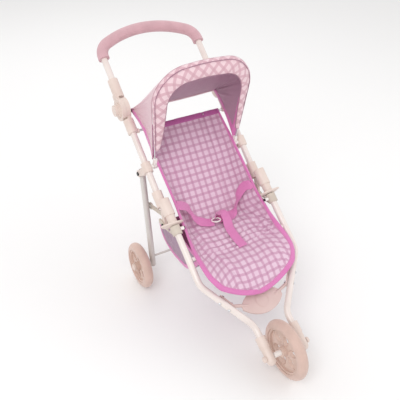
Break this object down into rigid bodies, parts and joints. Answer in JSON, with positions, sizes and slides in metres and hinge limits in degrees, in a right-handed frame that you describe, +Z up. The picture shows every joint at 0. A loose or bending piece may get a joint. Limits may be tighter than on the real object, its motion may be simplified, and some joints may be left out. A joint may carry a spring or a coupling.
{
  "type": "doll stroller",
  "caption": "Folding doll jogger stroller with a large front wheel, fabric seat, harness, canopy, under-seat basket and tilting foam-covered push handle.",
  "frame": {"origin": "on the ground, under the middle of the overall length and width", "axes": "+Z up, -Y towards the front wheel, +Y towards the push handle, +X across; nodes named left lie at -X and nodes named right at +X"},
  "size_m": [0.3826, 0.7958, 0.636],
  "materials": {
    "tube_enamel": "gloss",
    "leg_enamel": "gloss",
    "pale_plastic": "satin",
    "white_plastic": "gloss",
    "bracket_plastic": "satin",
    "dark_steel": "satin",
    "bright_steel": "brushed",
    "tyre_foam": "matte",
    "grip_foam": "matte",
    "seat_gingham": "woven check",
    "rim_gingham": "woven check on the bias",
    "canopy_satin": "satin weave",
    "webbing": "ribbed webbing",
    "basket_mesh": "fine mesh"
  },
  "bodies": {
    "front_frame": {"front_tube_left": "tube_enamel", "front_tube_right": "tube_enamel", "fork_sleeve_left": "pale_plastic", "fork_sleeve_right": "pale_plastic", "front_axle": "bright_steel", "axle_spacers": "white_plastic", "axle_nuts": "pale_plastic", "footrest": "pale_plastic", "footrest_bolts": "bright_steel", "fold_bracket_left": "bracket_plastic", "fold_bracket_right": "bracket_plastic", "fold_pins": "dark_steel", "fabric_spacers": "white_plastic", "fabric_screws": "dark_steel", "seat_base": "seat_gingham", "leg_flap": "seat_gingham", "lap_strap_left": "webbing", "lap_strap_right": "webbing", "crotch_strap": "webbing", "harness_ring": "white_plastic", "basket": "basket_mesh"},
    "front_wheel": {"front_tyre": "tyre_foam", "front_rim": "pale_plastic"},
    "upper_frame": {"upper_tube_left": "tube_enamel", "upper_tube_right": "tube_enamel", "lock_housing_left": "pale_plastic", "lock_housing_right": "pale_plastic", "leg_collar_left": "bracket_plastic", "leg_collar_right": "bracket_plastic", "leg_pins": "dark_steel", "canopy_pegs": "white_plastic", "hinge_lower_left": "pale_plastic", "hinge_lower_right": "pale_plastic", "hinge_pins": "dark_steel", "back_rod": "bright_steel", "backrest": "seat_gingham", "lock_springs": "bright_steel"},
    "lock_left": {"plunger_left": "white_plastic"},
    "lock_right": {"plunger_right": "white_plastic"},
    "handle": {"handle_tube": "tube_enamel", "foam_grip": "grip_foam", "hinge_upper_left": "pale_plastic", "hinge_upper_right": "pale_plastic", "button_springs": "bright_steel"},
    "handle_button_left": {"hinge_button_left": "white_plastic"},
    "handle_button_right": {"hinge_button_right": "white_plastic"},
    "canopy_frame": {"canopy_bow": "bright_steel", "bow_clips": "white_plastic", "canopy_rim": "rim_gingham", "canopy_hood": "canopy_satin"},
    "rear_legs": {"rear_leg_left": "leg_enamel", "rear_leg_right": "leg_enamel", "leg_cross_rod": "leg_enamel", "rear_axles": "leg_enamel", "rear_hub_caps": "pale_plastic"},
    "fold_links": {"fold_links": "bracket_plastic"},
    "rear_wheel_left": {"rear_tyre_left": "tyre_foam", "rear_rim_left": "pale_plastic"},
    "rear_wheel_right": {"rear_tyre_right": "tyre_foam", "rear_rim_right": "pale_plastic"}
  },
  "joints": [
    {"name": "fold", "type": "hinge", "parent": "front_frame", "child": "upper_frame", "pos_m": [0, 0.01057, 0.262], "axis": [-1, 0, 0], "range_deg": [0, 71]},
    {"name": "front_wheel_spin", "type": "hinge", "parent": "front_frame", "child": "front_wheel", "pos_m": [0, -0.32443, 0.0735], "axis": [1, 0, 0], "continuous": true},
    {"name": "rear_legs_fold", "type": "hinge", "parent": "upper_frame", "child": "rear_legs", "pos_m": [0, 0.14857, 0.335], "axis": [-1, 0, 0], "range_deg": [-1, 10.05]},
    {"name": "links_fold", "type": "hinge", "parent": "front_frame", "child": "fold_links", "pos_m": [0, 0.02657, 0.264], "axis": [-1, 0, 0], "range_deg": [-1, 79.39]},
    {"name": "handle_tilt", "type": "hinge", "parent": "upper_frame", "child": "handle", "pos_m": [0, 0.22476, 0.48213], "axis": [-1, 0, 0], "range_deg": [-20, 90]},
    {"name": "canopy_fold", "type": "hinge", "parent": "upper_frame", "child": "canopy_frame", "pos_m": [0, 0.10212, 0.37627], "axis": [-1, 0, 0], "range_deg": [0, 35], "deforming": ["canopy_hood"]},
    {"name": "lock_left", "type": "slide", "parent": "upper_frame", "child": "lock_left", "axis": [0, 0.7986, 0.6018], "range_m": [0, 0.012], "stiffness_N_per_m": 300, "springref_m": -0.01, "deforming": ["lock_springs"]},
    {"name": "handle_button_left", "type": "slide", "parent": "handle", "child": "handle_button_left", "axis": [1, 0, 0], "range_m": [0, 0.0025], "stiffness_N_per_m": 600, "springref_m": -0.003, "deforming": ["button_springs"]},
    {"name": "rear_wheel_spin_left", "type": "hinge", "parent": "rear_legs", "child": "rear_wheel_left", "pos_m": [0, 0.11657, 0.0643], "axis": [1, 0, 0], "continuous": true},
    {"name": "lock_right", "type": "slide", "parent": "upper_frame", "child": "lock_right", "axis": [0, 0.7986, 0.6018], "range_m": [0, 0.012], "stiffness_N_per_m": 300, "springref_m": -0.01, "deforming": ["lock_springs"]},
    {"name": "handle_button_right", "type": "slide", "parent": "handle", "child": "handle_button_right", "axis": [-1, 0, 0], "range_m": [0, 0.0025], "stiffness_N_per_m": 600, "springref_m": -0.003, "deforming": ["button_springs"]},
    {"name": "rear_wheel_spin_right", "type": "hinge", "parent": "rear_legs", "child": "rear_wheel_right", "pos_m": [0, 0.11657, 0.0643], "axis": [1, 0, 0], "continuous": true}
  ],
  "couplings": [
    {"joint": "rear_legs_fold", "follows": "fold", "ratio": 0.1204},
    {"joint": "links_fold", "follows": "fold", "ratio": 1.097}
  ]
}
